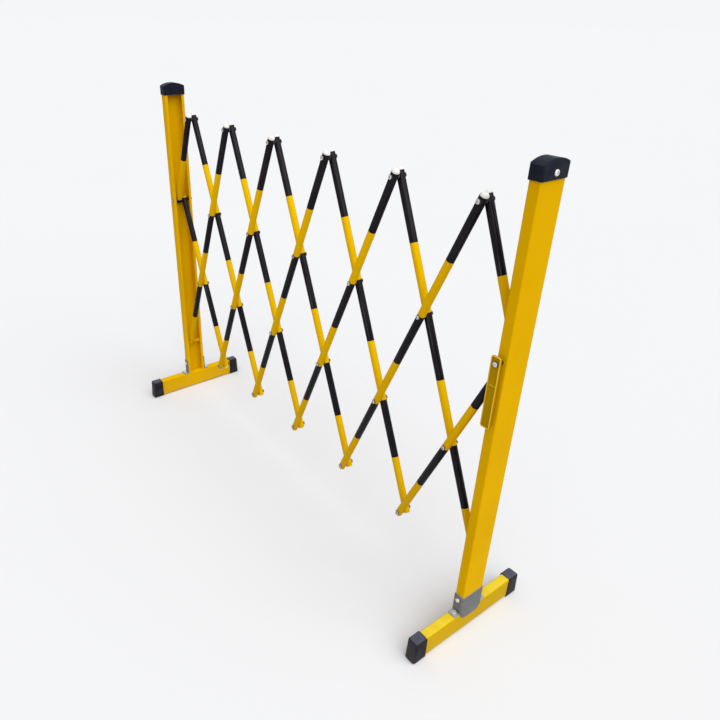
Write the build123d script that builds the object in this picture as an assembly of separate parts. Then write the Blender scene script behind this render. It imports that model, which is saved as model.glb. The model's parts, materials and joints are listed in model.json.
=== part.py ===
from build123d import *

import os
from math import cos, radians, sin

# Expandable barrier: a scissor lattice of round tubes between two channel posts on cross feet.
# X runs along the barrier, the front is -Y and Z is up. The origin is on the floor, midway between the posts.
# Turning the barrier half round about Z gives the same barrier, so the left side is the right side turned.

# Lattice of tubes
TOP_POINTS = 6  # peaks along the top edge
LAST_ROW = 3  # pivot rows count down from row 0 at the peaks
FIXED_ROW = 1  # row of the pivots that are fixed in the posts
PIVOT_PITCH = 308.0  # between neighbouring pivots along a bar
LEAN = 23.0  # of a bar from upright, as the barrier stands
FOLDED_LEAN = 2.13  # of a bar from upright, with the barrier pushed shut
BAR_D = 19.0
BAR_WALL = 1.2
LAYER_GAP = 2.0  # between the front and the rear bars
BAR_END = 11.0  # of a bar past its last pivot, at a free end
CHANNEL_BAR_END = 8.0  # of a bar past its last pivot, inside a post
PLUG_DOME = 7.0  # height of the plugs on the upper ends
PLUG_DOME_CROWN_D = 11.0
PLUG_BUTTON = 1.5  # height of the plugs on the lower ends
PLUG_BUTTON_CROWN_D = 17.0
PLUG_STEM = 5.0
PLUG_CLEARANCE = 0.1

# Rivets, pins and their clearances
RIVET_D = 6.0
RIVET_HEAD_D = 12.0
RIVET_CROWN_D = 7.0
RIVET_HEAD = 3.0
WASHER_D = 14.0
PIN_D = 8.0
PIN_HEAD_D = 13.0
PIN_CROWN_D = 8.0
PIN_HEAD = 3.0
PIN_COLLAR_D = 12.0  # where the lever hangs
SPACER_D = 14.0
RUNNING_CLEARANCE = 0.05  # round a pin, on the radius
SIDE_CLEARANCE = 0.3  # between faces that slide past each other

# Posts, open towards the lattice
POST_X = 25.0
POST_Y = 70.0
POST_WALL = 1.5
POST_LIP = 10.0
POST_CORNER = 3.0
POST_LENGTH = 1067.0
PIVOT_INSET = 10.5  # of the pivots behind a post's open face
FIXED_PIVOT_RISE = 700.0  # above the foot

# Post caps
CAP_WALL = 2.5
CAP_SKIRT = 20.0  # depth over the post
CAP_TOP = 6.5  # from the post's end to the shoulder
CAP_CROWN = 10.0  # rise of the arched crown above the shoulder
CAP_HIP = 7.0  # how far the long sides of the crown lean in
CAP_CORNER = 4.0
CAP_CLEARANCE = 0.1
CAP_SCREW_D = 5.0
CAP_SCREW_HEAD_D = 12.0
CAP_SCREW_CROWN_D = 7.0
CAP_SCREW_HEAD = 3.0
CAP_SCREW_LENGTH = 12.0
CAP_SCREW_RISE = 12.0  # above the lower edge of the cap

# Cross feet and their rubber boots
FOOT_X = 25.0
FOOT_Z = 60.0
FOOT_WALL = 1.5
FOOT_CORNER = 3.0
FOOT_BARE = 304.0  # length of tube between the boots
BOOT_WALL = 3.0
BOOT_LENGTH = 39.0
BOOT_END = 10.0
BOOT_RAKE = 4.0  # how far the end leans back from the floor up
BOOT_ROUND = 4.0
BOOT_CLEARANCE = 0.1

# Galvanised brackets that tie each post to its foot
PLATE = 2.5
PLATE_BEND = 3.5
BRACKET_RISE = 57.0  # above the foot
BRACKET_DROP = 17.5  # of the tab over the foot's outer side
TAB_CORNER = 12.0
FLANGE_LENGTH = 19.5  # along the foot, from the post's side
CROSS_BOLT_RISE = 42.0  # above the foot
FLANGE_BOLT_OUT = 10.0  # from the post's side to the bolt through the flange
BOLT_D = 6.0
BOLT_FLATS = 10.0
BOLT_HEAD = 4.0
NUT = 5.0

# Sliders that run in the posts
GLIDE_Z = 32.0
GLIDE_Y = 9.0
GLIDE_ROUND = 2.0
GLIDE_CLEARANCE = 0.4

# Lever that locks the folded barrier
LEVER_WIDTH = 22.5
LEVER_SHEET = 2.0
LEVER_DEPTH = 5.0
LEVER_CORNER = 4.0
LEVER_ABOVE = 17.0  # from the pivot to the upper end
LEVER_STAND_OFF = 13.0  # of the collar between the post and the lever
LEVER_CLEARANCE = 0.4  # from the collar and from the pin's head
HOOK_CLEARANCE = 0.6  # from the head of the other post's pin

# Places worked out from the sizes
HALF_CELL = PIVOT_PITCH * sin(radians(LEAN))
ROW_HEIGHT = PIVOT_PITCH * cos(radians(LEAN))
POST_PIVOT_X = TOP_POINTS * HALF_CELL
LAYER_Y = (BAR_D + LAYER_GAP) / 2
CROWN_Y = LAYER_Y + BAR_D / 2
BARS = TOP_POINTS + 1
FOOT_BASE = BOOT_WALL + BOOT_CLEARANCE
FOOT_TOP = FOOT_BASE + FOOT_Z
POST_TOP = FOOT_TOP + POST_LENGTH
FIXED_PIVOT_Z = FOOT_TOP + FIXED_PIVOT_RISE
POST_OPEN_X = POST_PIVOT_X - PIVOT_INSET
POST_OUTER_X = POST_OPEN_X + POST_X
POST_MID_X = POST_OPEN_X + POST_X / 2
FLANK_Y = POST_Y / 2
FLANK_INNER_Y = FLANK_Y - POST_WALL
CAP_BASE = POST_TOP - CAP_SKIRT
CROSS_BOLT_Z = FOOT_TOP + CROSS_BOLT_RISE
FLANGE_BOLT_Y = FLANK_Y + FLANGE_BOLT_OUT
CAP_SCREW_Z = CAP_BASE + CAP_SCREW_RISE
CAP_SCREW_SEAT_X = POST_OUTER_X + CAP_CLEARANCE + CAP_WALL
GLIDE_INNER_Y = FLANK_INNER_Y - GLIDE_CLEARANCE - GLIDE_Y
SLIDER_Z = FIXED_PIVOT_Z - (LAST_ROW - FIXED_ROW) * ROW_HEIGHT
LEVER_BACK_Y = -FLANK_Y - LEVER_STAND_OFF - LEVER_CLEARANCE
LEVER_WEB_Y = LEVER_BACK_Y - LEVER_SHEET
LOCK_REACH = 2 * TOP_POINTS * PIVOT_PITCH * sin(radians(FOLDED_LEAN))
HALF_TURN = Rot(0, 0, 180)


def rod(radius, y_from, y_to):
    """A round rod along Y."""
    return Pos(0, (y_from + y_to) / 2, 0) * Rot(90, 0, 0) * Cylinder(radius, y_to - y_from)


def ring(outer_d, bore_d, y_from, y_to):
    """A washer or spacer along Y, with a running bore."""
    bore = rod(bore_d / 2 + RUNNING_CLEARANCE, y_from, y_to)
    return rod(outer_d / 2, y_from, y_to) - bore


def head(base_d, crown_d, height, seat_y, outward):
    """A rivet or pin head on a seat, facing -Y or +Y."""
    turn = Rot(-90 * outward, 0, 0)
    return Pos(0, seat_y + outward * height / 2, 0) * turn * Cone(base_d / 2, crown_d / 2, height)


def headed_pin(shank_d, base_d, crown_d, height, y_from, y_to):
    """A pin along Y with a head outside each seat."""
    shank = rod(shank_d / 2, y_from, y_to)
    front_head = head(base_d, crown_d, height, y_from, -1)
    rear_head = head(base_d, crown_d, height, y_to, 1)
    return shank + front_head + rear_head


def peak_x(number):
    """X of a peak of the lattice, counted from 1 at the left."""
    return (2 * number - BARS) * HALF_CELL


def row_z(row):
    """Height of a pivot row as the barrier stands."""
    return FIXED_PIVOT_Z + (FIXED_ROW - row) * ROW_HEIGHT


def bar_rows(number):
    """Top and bottom pivot rows of a front bar. The bars at the ends are shorter."""
    top = FIXED_ROW if number == BARS else 0
    bottom = min(LAST_ROW, 2 * number - 1)
    return top, bottom


def channel_row(number):
    """The row at which a front bar is pinned inside a post, or None."""
    if number == BARS:
        return FIXED_ROW
    row = 2 * number - 1
    return row if row <= LAST_ROW else None


def bar_place(number):
    """Place of a front bar, which is drawn upright with its row 0 pivot at the origin."""
    return Pos(peak_x(number), -LAYER_Y, row_z(0)) * Rot(0, LEAN, 0)


def bar_ends(number):
    """Upper and lower end of an upright bar, past its first and last pivots."""
    top, bottom = bar_rows(number)
    pinned = channel_row(number)
    upper = -top * PIVOT_PITCH + (CHANNEL_BAR_END if pinned == top else BAR_END)
    lower = -bottom * PIVOT_PITCH - (CHANNEL_BAR_END if pinned == bottom else BAR_END)
    return upper, lower


def front_bar(number):
    """One tube, drilled at its pivots."""
    top, bottom = bar_rows(number)
    upper, lower = bar_ends(number)
    middle = Pos(0, 0, (upper + lower) / 2)
    tube = middle * Cylinder(BAR_D / 2, upper - lower)
    tube -= middle * Cylinder(BAR_D / 2 - BAR_WALL, upper - lower)
    for row in range(top, bottom + 1):
        pin_d = PIN_D if row == channel_row(number) else RIVET_D
        hole = rod(pin_d / 2 + RUNNING_CLEARANCE, -BAR_D, BAR_D)
        tube -= Pos(0, 0, -row * PIVOT_PITCH) * hole
    return bar_place(number) * tube


def end_plug(height, crown_d):
    """A plug for an open tube, with its head on the tube's end at the origin and its stem below."""
    crown = Pos(0, 0, height / 2) * Cone(BAR_D / 2, crown_d / 2, height)
    stem_radius = BAR_D / 2 - BAR_WALL - PLUG_CLEARANCE
    stem = Pos(0, 0, -PLUG_STEM / 2) * Cylinder(stem_radius, PLUG_STEM)
    return crown + stem


def front_plugs(number):
    """The plugs at a bar's free ends: a dome at the top and a flat button at the bottom."""
    top, bottom = bar_rows(number)
    upper, lower = bar_ends(number)
    plugs = []
    if channel_row(number) != top:
        dome = end_plug(PLUG_DOME, PLUG_DOME_CROWN_D)
        plugs.append(bar_place(number) * Pos(0, 0, upper) * dome)
    if channel_row(number) != bottom:
        button = end_plug(PLUG_BUTTON, PLUG_BUTTON_CROWN_D)
        plugs.append(bar_place(number) * Pos(0, 0, lower) * Rot(180, 0, 0) * button)
    return plugs


def front_rivets(number):
    """The rivets that join a front bar to the rear bars, and the washers between the layers."""
    top, bottom = bar_rows(number)
    rivet = headed_pin(
        RIVET_D, RIVET_HEAD_D, RIVET_CROWN_D, RIVET_HEAD, -CROWN_Y, CROWN_Y + SIDE_CLEARANCE
    )
    washer = ring(WASHER_D, RIVET_D, -LAYER_GAP / 2, LAYER_GAP / 2 - SIDE_CLEARANCE)
    pieces = []
    for row in range(top, bottom + 1):
        if row == channel_row(number):
            continue
        place = Pos(peak_x(number) - row * HALF_CELL, 0, row_z(row))
        pieces += [place * rivet, place * washer]
    return pieces


def channel_post():
    """The right post: a lipped channel, open to -X, drilled for its pin, bolt and cap screw."""
    outline = RectangleRounded(POST_X, POST_Y, POST_CORNER)
    hollow = RectangleRounded(POST_X - 2 * POST_WALL, POST_Y - 2 * POST_WALL, POST_CORNER - POST_WALL)
    mouth = Pos(-POST_X / 2, 0) * Rectangle(4 * POST_WALL, POST_Y - 2 * POST_LIP)
    section = outline - hollow - mouth
    post = Pos(POST_MID_X, 0, FOOT_TOP) * extrude(section, POST_LENGTH)
    post -= Pos(POST_PIVOT_X, 0, FIXED_PIVOT_Z) * rod(PIN_D / 2 + RUNNING_CLEARANCE, -POST_Y, POST_Y)
    post -= Pos(POST_MID_X, 0, CROSS_BOLT_Z) * rod(BOLT_D / 2 + RUNNING_CLEARANCE, -POST_Y, POST_Y)
    screw_hole = Rot(0, 90, 0) * Cylinder(CAP_SCREW_D / 2 + RUNNING_CLEARANCE, 4 * POST_WALL)
    post -= Pos(POST_OUTER_X, 0, CAP_SCREW_Z) * screw_hole
    return post


def cap_crown(size_x, size_y):
    """The top of a cap: arched along its length, with its long sides hipped."""
    chord = Line((size_y / 2, 0), (-size_y / 2, 0))
    arc = ThreePointArc((-size_y / 2, 0), (0, CAP_CROWN), (size_y / 2, 0))
    arch = extrude(Plane.YZ * make_face([arc, chord]), size_x, both=True)
    ridge = size_x / 2 - CAP_HIP
    gable = Polygon((-size_x / 2, 0), (size_x / 2, 0), (ridge, CAP_CROWN), (-ridge, CAP_CROWN), align=None)
    hip = extrude(Plane.XZ * gable, size_y, both=True)
    return extrude(RectangleRounded(size_x, size_y, CAP_CORNER), CAP_CROWN) & arch & hip


def post_cap():
    """A moulded cap over the top of the right post."""
    size_x = POST_X + 2 * (CAP_CLEARANCE + CAP_WALL)
    size_y = POST_Y + 2 * (CAP_CLEARANCE + CAP_WALL)
    shoulder = CAP_SKIRT + CAP_TOP
    cap = extrude(RectangleRounded(size_x, size_y, CAP_CORNER), shoulder)
    cap += Pos(0, 0, shoulder) * cap_crown(size_x, size_y)
    pocket = RectangleRounded(POST_X + 2 * CAP_CLEARANCE, POST_Y + 2 * CAP_CLEARANCE, POST_CORNER)
    cap -= extrude(pocket, CAP_SKIRT)
    hole = Rot(0, 90, 0) * Cylinder(CAP_SCREW_D / 2 + RUNNING_CLEARANCE, 4 * CAP_WALL)
    cap -= Pos(size_x / 2, 0, CAP_SCREW_RISE) * hole
    return Pos(POST_MID_X, 0, CAP_BASE) * cap


def cap_screw():
    """The screw through the outer face of the right cap."""
    crown = Cone(CAP_SCREW_HEAD_D / 2, CAP_SCREW_CROWN_D / 2, CAP_SCREW_HEAD)
    shank = Cylinder(CAP_SCREW_D / 2, CAP_SCREW_LENGTH)
    screw = Pos(0, 0, CAP_SCREW_HEAD / 2) * crown + Pos(0, 0, -CAP_SCREW_LENGTH / 2) * shank
    return Pos(CAP_SCREW_SEAT_X, 0, CAP_SCREW_Z) * Rot(0, 90, 0) * screw


def foot_tube():
    """The right foot's tube along Y, drilled in its top for the flange bolts."""
    length = FOOT_BARE + 2 * (BOOT_LENGTH - BOOT_END)
    outline = RectangleRounded(FOOT_X, FOOT_Z, FOOT_CORNER)
    hollow = RectangleRounded(FOOT_X - 2 * FOOT_WALL, FOOT_Z - 2 * FOOT_WALL, FOOT_CORNER - FOOT_WALL)
    tube = Rot(90, 0, 0) * Pos(0, 0, -length / 2) * extrude(outline - hollow, length)
    foot = Pos(POST_MID_X, 0, FOOT_BASE + FOOT_Z / 2) * tube
    hole = Cylinder(BOLT_D / 2 + RUNNING_CLEARANCE, 4 * FOOT_WALL)
    for side in (-1, 1):
        foot -= Pos(POST_MID_X, side * FLANGE_BOLT_Y, FOOT_TOP) * hole
    return foot


def foot_boots():
    """The rubber boots on both ends of the right foot. They rest on the floor."""
    size_x = FOOT_X + 2 * (BOOT_WALL + BOOT_CLEARANCE)
    size_z = FOOT_Z + 2 * (BOOT_WALL + BOOT_CLEARANCE)
    side = Polygon((0, 0), (BOOT_LENGTH, 0), (BOOT_LENGTH - BOOT_RAKE, size_z), (0, size_z), align=None)
    boot = extrude(Plane.YZ * side, size_x / 2, both=True)
    mouth = boot.faces().sort_by(Axis.Y)[0]
    boot = fillet(boot.edges() - mouth.edges(), BOOT_ROUND)
    pocket = RectangleRounded(FOOT_X + 2 * BOOT_CLEARANCE, FOOT_Z + 2 * BOOT_CLEARANCE, FOOT_CORNER)
    boot -= Pos(0, 0, size_z / 2) * Rot(-90, 0, 0) * extrude(pocket, BOOT_LENGTH - BOOT_END)
    rear = Pos(0, FOOT_BARE / 2, 0) * boot
    return [Pos(POST_MID_X, 0, 0) * HALF_TURN * rear, Pos(POST_MID_X, 0, 0) * rear]


def foot_bracket():
    """A bent plate round the right post's outer side, with flanges on the foot and a tab over its side."""
    outer_x = POST_OUTER_X + PLATE
    depth = outer_x - POST_OPEN_X
    wrap = RectangleRounded(2 * depth, POST_Y + 2 * PLATE, PLATE_BEND)
    wrap -= Rectangle(2 * (depth - PLATE), POST_Y)
    wrap -= Pos(-depth, 0) * Rectangle(2 * depth, 2 * POST_Y)
    bracket = Pos(POST_OPEN_X, 0, FOOT_TOP) * extrude(wrap, BRACKET_RISE)
    flange = Pos(0, FLANK_Y + FLANGE_LENGTH / 2) * Rectangle(FOOT_X, FLANGE_LENGTH)
    for turn in (0, 180):
        bracket += Pos(POST_MID_X, 0, FOOT_TOP) * extrude(Rot(0, 0, turn) * flange, PLATE)
    tab = Rectangle(2 * BRACKET_DROP, POST_Y)
    tab = chamfer(tab.vertices(), TAB_CORNER)
    tab_place = Pos(POST_OUTER_X, 0, FOOT_TOP) * Rot(0, 90, 0)
    bracket += tab_place * extrude(tab, PLATE)
    bracket -= Pos(POST_MID_X, 0, CROSS_BOLT_Z) * rod(BOLT_D / 2 + RUNNING_CLEARANCE, -POST_Y, POST_Y)
    hole = Cylinder(BOLT_D / 2 + RUNNING_CLEARANCE, 4 * PLATE)
    for side in (-1, 1):
        bracket -= Pos(POST_MID_X, side * FLANGE_BOLT_Y, FOOT_TOP) * hole
    return bracket


def hex_bolt(grip):
    """A hex bolt with its nut, its head seated at the origin and its shank down -Z."""
    hexagon = RegularPolygon(BOLT_FLATS / 2, 6, major_radius=False)
    nut_bore = Circle(BOLT_D / 2 + RUNNING_CLEARANCE)
    shank = Pos(0, 0, -(grip + NUT) / 2) * Cylinder(BOLT_D / 2, grip + NUT)
    bolt = extrude(hexagon, BOLT_HEAD) + shank
    nut = Pos(0, 0, -grip - NUT) * extrude(hexagon - nut_bore, NUT)
    return [bolt, nut]


def bracket_bolts():
    """One bolt across the right post and one down through each flange into the foot."""
    seat_y = FLANK_Y + PLATE
    across = Pos(POST_MID_X, -seat_y, CROSS_BOLT_Z) * Rot(90, 0, 0)
    pieces = [across * piece for piece in hex_bolt(2 * seat_y)]
    for side in (-1, 1):
        down = Pos(POST_MID_X, side * FLANGE_BOLT_Y, FOOT_TOP + PLATE)
        pieces += [down * piece for piece in hex_bolt(PLATE + FOOT_WALL)]
    return pieces


def post_pin(front_seat_y):
    """The pivot pin across a post, on the right. Its front head seats on the post or holds the lever."""
    pin = headed_pin(PIN_D, PIN_HEAD_D, PIN_CROWN_D, PIN_HEAD, front_seat_y, FLANK_Y)
    return Pos(POST_PIVOT_X, 0, FIXED_PIVOT_Z) * pin


def lever_pin():
    """The right post's pin. A collar outside the post holds the lever off it."""
    collar = rod(PIN_COLLAR_D / 2, -FLANK_Y - LEVER_STAND_OFF, -FLANK_Y)
    return post_pin(LEVER_WEB_Y - LEVER_CLEARANCE) + Pos(POST_PIVOT_X, 0, FIXED_PIVOT_Z) * collar


def pin_spacers():
    """Spacers that keep the two bars on the right post's pin in their layers."""
    place = Pos(POST_PIVOT_X, 0, FIXED_PIVOT_Z)
    front = ring(SPACER_D, PIN_D, -FLANK_INNER_Y, -CROWN_Y - SIDE_CLEARANCE)
    middle = ring(SPACER_D, PIN_D, -LAYER_GAP / 2 + SIDE_CLEARANCE, LAYER_GAP / 2 - SIDE_CLEARANCE)
    rear = ring(SPACER_D, PIN_D, CROWN_Y + SIDE_CLEARANCE, FLANK_INNER_Y)
    return [place * front, place * middle, place * rear]


def slider_glides():
    """Two moulded glides that run behind the right post's lips."""
    size_x = POST_X - 2 * POST_WALL - 2 * GLIDE_CLEARANCE
    section = RectangleRounded(size_x, GLIDE_Y, GLIDE_ROUND)
    glide = extrude(section, GLIDE_Z / 2, both=True)
    glide -= Pos(POST_PIVOT_X - POST_MID_X, 0, 0) * rod(PIN_D / 2 + RUNNING_CLEARANCE, -GLIDE_Y, GLIDE_Y)
    offset_y = GLIDE_INNER_Y + GLIDE_Y / 2
    return [Pos(POST_MID_X, side * offset_y, SLIDER_Z) * glide for side in (-1, 1)]


def slider_pin():
    """The pin that carries the rear bar's lower end between the right glides."""
    reach = GLIDE_INNER_Y + GLIDE_Y
    return Pos(POST_PIVOT_X, 0, SLIDER_Z) * rod(PIN_D / 2, -reach, reach)


def slider_spacers():
    """Spacers that keep the rear bar's lower end in its layer on the right slider."""
    place = Pos(POST_PIVOT_X, 0, SLIDER_Z)
    front = ring(SPACER_D, PIN_D, -GLIDE_INNER_Y, LAYER_GAP / 2 - SIDE_CLEARANCE)
    rear = ring(SPACER_D, PIN_D, CROWN_Y + SIDE_CLEARANCE, GLIDE_INNER_Y)
    return [place * front, place * rear]


def lock_lever():
    """A dished lever on the right post's pin. Its bent end hooks past the left pin when folded."""
    below = LOCK_REACH + PIN_HEAD_D / 2 + HOOK_CLEARANCE + LEVER_SHEET
    outline = RectangleRounded(LEVER_WIDTH, LEVER_ABOVE + below, LEVER_CORNER)
    outline = Pos(0, (LEVER_ABOVE - below) / 2) * outline
    rim = outline - offset(outline, -LEVER_SHEET)
    hook = Pos(0, LEVER_SHEET / 2 - below) * Rectangle(LEVER_WIDTH - 2 * LEVER_CORNER, LEVER_SHEET)
    lever = extrude(outline, LEVER_SHEET) + extrude(rim, LEVER_DEPTH) + extrude(hook, -LEVER_STAND_OFF)
    lever -= extrude(Circle(PIN_D / 2 + RUNNING_CLEARANCE), LEVER_SHEET)
    return Pos(POST_PIVOT_X, LEVER_BACK_Y, FIXED_PIVOT_Z) * Rot(90, 0, 0) * lever


def write(name, pieces):
    """Writes one named sub-part, a solid or a group of solids."""
    shape = Compound(children=pieces) if isinstance(pieces, list) else pieces
    export_step(shape, os.path.join("parts", name + ".step"))


def turned(pieces):
    """The same piece or pieces on the other side, half a turn round."""
    if isinstance(pieces, list):
        return [HALF_TURN * piece for piece in pieces]
    return HALF_TURN * pieces


os.makedirs("parts", exist_ok=True)

for number in range(1, BARS + 1):
    rear_number = BARS + 1 - number
    bar = front_bar(number)
    plugs = front_plugs(number)
    write(f"front_bar_{number}", bar)
    write(f"front_bar_{number}_plugs", plugs)
    write(f"front_bar_{number}_rivets", front_rivets(number))
    write(f"rear_bar_{rear_number}", turned(bar))
    write(f"rear_bar_{rear_number}_plugs", turned(plugs))

paired = {
    "post": channel_post(),
    "post_cap": post_cap(),
    "cap_screw": cap_screw(),
    "foot_tube": foot_tube(),
    "foot_boots": foot_boots(),
    "foot_bracket": foot_bracket(),
    "bracket_bolts": bracket_bolts(),
    "pin_spacers": pin_spacers(),
    "slider_glides": slider_glides(),
    "slider_pin": slider_pin(),
    "slider_spacers": slider_spacers(),
}
for name, pieces in paired.items():
    write("right_" + name, pieces)
    write("left_" + name, turned(pieces))

write("right_post_pin", lever_pin())
write("left_post_pin", turned(post_pin(-FLANK_Y)))
write("lock_lever", lock_lever())
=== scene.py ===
# %% [markdown]
# # An expandable barrier, dressed piece by piece
# The barrier is a scissor lattice of banded tubes between two channel posts on cross feet.
# Its solids come from CAD with their real sizes and places, and they stay as they are.
# Here the pieces that the eye lands on are modelled again with softer edges,
# and every surface gets a finish.

# %% Load the solids
import json
import math

import bmesh
import bpy
from mathutils import Matrix, Vector


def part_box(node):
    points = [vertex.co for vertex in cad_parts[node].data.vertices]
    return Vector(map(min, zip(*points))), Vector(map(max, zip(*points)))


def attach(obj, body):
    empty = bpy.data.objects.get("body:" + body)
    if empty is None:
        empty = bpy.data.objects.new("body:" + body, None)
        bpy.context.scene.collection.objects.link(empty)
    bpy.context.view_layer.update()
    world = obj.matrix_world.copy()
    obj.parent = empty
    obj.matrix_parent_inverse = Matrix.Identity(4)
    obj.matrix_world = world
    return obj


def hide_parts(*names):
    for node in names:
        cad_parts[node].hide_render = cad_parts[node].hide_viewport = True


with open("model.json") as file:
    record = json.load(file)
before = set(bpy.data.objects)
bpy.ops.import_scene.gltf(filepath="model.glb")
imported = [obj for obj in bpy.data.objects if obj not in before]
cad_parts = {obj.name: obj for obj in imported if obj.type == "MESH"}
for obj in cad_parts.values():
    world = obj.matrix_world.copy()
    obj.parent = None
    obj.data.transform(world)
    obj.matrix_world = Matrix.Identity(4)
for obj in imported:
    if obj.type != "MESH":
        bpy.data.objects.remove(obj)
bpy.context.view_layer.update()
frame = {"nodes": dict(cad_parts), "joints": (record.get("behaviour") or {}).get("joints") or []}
scene = bpy.context.scene

# %% [markdown]
# ## Measure the lattice
# Every bar crosses the others at evenly spaced pivots, so two pivots give the whole lattice.
# They are read from the joints, so this file stays true when the barrier changes size.

# %% Measure the lattice
BARS_IN_LAYER = 7
ROWS = 4

pivot_of = {joint["child"]: Vector(joint["pos_m"]) for joint in frame["joints"]}
post_pivot = pivot_of["rear_bar_7"]
last_peak = pivot_of["front_bar_6"]
half_cell = post_pivot.x - last_peak.x
row_height = last_peak.z - post_pivot.z
pivot_pitch = math.hypot(half_cell, row_height)
lean = math.atan2(half_cell, row_height)
bar_low, bar_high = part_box("front_bar_3")
bar_radius = (bar_high.y - bar_low.y) / 2
layer_y = -(bar_high.y + bar_low.y) / 2
bar_names = [f"{layer}_bar_{n}" for layer in ("front", "rear") for n in range(1, BARS_IN_LAYER + 1)]
print(len(bar_names), f"bars of {2000 * bar_radius:.1f} mm lean {math.degrees(lean):.1f} degrees")

# %% [markdown]
# ## Camera
# The photograph looks down on the barrier from beyond the right post.
# The place and turn below were found by matching the lattice's crossings and the posts' edges.
# The lens is a little wide, and the shift says that the photograph was cut from a larger frame.

# %% Place the camera
EYE = Vector((1.3587, -0.9737, 1.3469))
AZIMUTH = math.radians(52.946)
ELEVATION = math.radians(28.475)
ROLL = math.radians(1.049)
LENS = 31.56
SHIFT = (0.0663, -0.0028)

camera = bpy.data.objects.new("camera", bpy.data.cameras.new("camera"))
scene.collection.objects.link(camera)
camera.data.lens = LENS
camera.data.shift_x, camera.data.shift_y = SHIFT
backward = Vector((
    math.sin(AZIMUTH) * math.cos(ELEVATION),
    -math.cos(AZIMUTH) * math.cos(ELEVATION),
    math.sin(ELEVATION),
))
level = Vector((math.cos(AZIMUTH), math.sin(AZIMUTH), 0.0))
turn = Matrix((level, backward.cross(level), backward)).transposed().to_4x4()
camera.matrix_world = Matrix.Translation(EYE) @ turn @ Matrix.Rotation(ROLL, 4, "Z")
scene.camera = camera
print("camera stands", round(EYE.length, 2), "m from the middle of the barrier")

# %% [markdown]
# ## Node helpers
# A material is a small graph of nodes, and it could be drawn by hand in the Shader Editor.
# In a script, these helpers add a node, set its options and fill its sockets in one line,
# so that each finish below reads as a list of what it is made of.

# %% Node helpers
NOISE_SPAN = (0.3, 0.7)  # where nearly all values of a noise texture lie


def fill(tree, node, inputs):
    """Fills a node's sockets with values or links."""
    for socket, value in inputs.items():
        if isinstance(value, bpy.types.NodeSocket):
            tree.links.new(value, node.inputs[socket])
        else:
            node.inputs[socket].default_value = value


def add(tree, kind, inputs=None, **options):
    """Adds a node, sets its options and fills its sockets."""
    node = tree.nodes.new(kind)
    for option, value in options.items():
        setattr(node, option, value)
    fill(tree, node, inputs or {})
    return node


def noise(tree, place, scale, detail):
    """The outputs of a noise texture: its value comes first, and its colour goes by name."""
    return add(tree, "ShaderNodeTexNoise", {"Vector": place, "Scale": scale, "Detail": detail}).outputs


def blend(tree, share, first, second):
    """A mix of two colours. The Mix node keeps its colour sockets at places 6 and 7."""
    return add(tree, "ShaderNodeMix", {0: share, 6: first, 7: second}, data_type="RGBA").outputs[2]


def remap(tree, value, low, high, to_low=0.0, to_high=1.0):
    """Stretches the span from low to high over a new span, and clips what is outside."""
    spans = {"Value": value, "From Min": low, "From Max": high, "To Min": to_low, "To Max": to_high}
    return add(tree, "ShaderNodeMapRange", spans).outputs[0]


def sums(tree, operation, first, second):
    """One step of arithmetic."""
    return add(tree, "ShaderNodeMath", {0: first, 1: second}, operation=operation).outputs[0]


print("node helpers ready")

# %% [markdown]
# ## Groups and finishes
# An effect that several materials share is built once as a node group with named sockets.
# A new material comes with a Principled shader. Its patterns read the object's own coordinates,
# so they stay on a piece when the barrier folds.

# %% Groups and finishes
VECTOR = "NodeSocketVector"
FLOAT = "NodeSocketFloat"


def new_group(name, output, kind, **inputs):
    """An empty node group: a place and other named inputs go in, and one output comes out."""
    group = bpy.data.node_groups.new(name, "ShaderNodeTree")
    for label, value in {"Place": (0.0, 0.0, 0.0), **inputs}.items():
        shape = FLOAT if isinstance(value, float) else VECTOR
        group.interface.new_socket(label, in_out="INPUT", socket_type=shape).default_value = value
    group.interface.new_socket(output, in_out="OUTPUT", socket_type=kind)
    return group, add(group, "NodeGroupInput").outputs, add(group, "NodeGroupOutput").inputs


def use_group(tree, group, **inputs):
    """Places a group in a material, with values for the inputs that differ from its own."""
    return add(tree, "ShaderNodeGroup", inputs, node_tree=group).outputs[0]


def new_finish(name):
    """A material with its tree, its main shader and its object coordinates."""
    material = bpy.data.materials.new(name)
    material.use_nodes = True
    tree = material.node_tree
    shader = tree.nodes["Principled BSDF"]
    return material, tree, shader, add(tree, "ShaderNodeTexCoord").outputs["Object"]


print("group and finish helpers ready")

# %% [markdown]
# ## Fine bump
# Sprayed paint and moulded plastic are never quite smooth. That grain would take millions of faces,
# so a noise feeds a Bump node, which changes how light falls and leaves the mesh as it is.

# %% Fine bump
fine_bump, given, result = new_group("fine_bump", "Normal", VECTOR, Scale=500.0, Depth=0.00003)
speckle = noise(fine_bump, given["Place"], given["Scale"], detail=3.0)[0]
bump = add(fine_bump, "ShaderNodeBump", {"Height": speckle, "Distance": given["Depth"]})
fine_bump.links.new(bump.outputs[0], result["Normal"])
print("effect:", fine_bump.name)

# %% [markdown]
# ## Scuffs
# A barrier that is carried about gets hairline scuffs. The edges of Voronoi cells are thin lines already:
# a warp bends them, and patches of noise leave only a few.

# %% Scuffs
SCUFF_PATCHES = (0.56, 0.68)

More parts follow.
